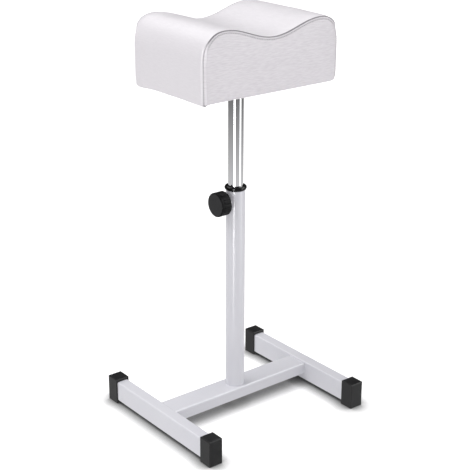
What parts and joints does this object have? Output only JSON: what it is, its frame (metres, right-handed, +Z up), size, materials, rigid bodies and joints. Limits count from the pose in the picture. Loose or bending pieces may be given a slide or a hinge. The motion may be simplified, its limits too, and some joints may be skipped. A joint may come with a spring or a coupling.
{
  "type": "pedicure footrest",
  "caption": "Free-standing footrest with an H-shaped tube base, a clamped telescopic post and a padded saddle cushion that slides up and down and swivels.",
  "frame": {"origin": "on the floor under the axis of the column and post, which is the centre of the base's footprint", "axes": "+X along the crossbar, away from the clamp knob; +Y along the floor legs, from the front to the back; +Z up along the post"},
  "size_m": [0.3944, 0.345, 0.8066],
  "materials": {
    "frame_paint": "satin",
    "foot_plastic": "matte",
    "zinc_steel": "satin",
    "black_steel": "satin",
    "collar_plastic": "gloss",
    "pad_brass": "satin",
    "knob_plastic": "satin",
    "knob_disc_plastic": "matte",
    "glide_plastic": "satin",
    "post_chrome": "polished",
    "board_plywood": "matte",
    "cushion_foam": "matte",
    "cover_leatherette": "satin",
    "dust_cloth_black": "matte",
    "staple_steel": "satin"
  },
  "bodies": {
    "base": {"leg_tube_left": "frame_paint", "leg_tube_right": "frame_paint", "foot_cap_front_left": "foot_plastic", "foot_cap_back_left": "foot_plastic", "foot_cap_front_right": "foot_plastic", "foot_cap_back_right": "foot_plastic", "crossbar_tube": "frame_paint", "crossbar_spacer": "zinc_steel", "base_bolt": "black_steel", "base_washer": "black_steel", "column_tube": "frame_paint", "column_foot_plug": "zinc_steel", "collar_bush": "collar_plastic", "clamp_boss": "frame_paint"},
    "clamp_pad": {"pressure_pad": "pad_brass"},
    "knob": {"clamp_screw": "zinc_steel", "knob_head": "knob_plastic", "knob_cover_disc": "knob_disc_plastic"},
    "glide": {"glide_plug": "glide_plastic"},
    "post": {"post_tube": "post_chrome", "post_socket": "frame_paint", "cross_bolt": "zinc_steel", "cross_nut": "zinc_steel", "mounting_plate": "frame_paint", "plate_screws": "zinc_steel", "seat_board": "board_plywood", "foam_core": "cushion_foam", "cover_wrap_panel": "cover_leatherette", "cover_end_front": "cover_leatherette", "cover_end_back": "cover_leatherette", "dust_cloth": "dust_cloth_black", "cloth_staples": "staple_steel"}
  },
  "joints": [
    {"name": "height_slide", "type": "slide", "parent": "base", "child": "glide", "axis": [0, 0, 1], "range_m": [-0.17, 0.02]},
    {"name": "post_swivel", "type": "hinge", "parent": "glide", "child": "post", "pos_m": [0, 0, 0.3997], "axis": [0, 0, 1], "continuous": true},
    {"name": "clamp_feed", "type": "slide", "parent": "base", "child": "clamp_pad", "axis": [1, 0, 0], "range_m": [-0.003, 0]},
    {"name": "knob_spin", "type": "hinge", "parent": "clamp_pad", "child": "knob", "pos_m": [-0.0203, 0, 0.4427], "axis": [1, 0, 0], "range_deg": [-720, 0]}
  ],
  "couplings": [
    {"joint": "clamp_feed", "follows": "knob_spin", "m_per_rad": 0.00023873}
  ]
}
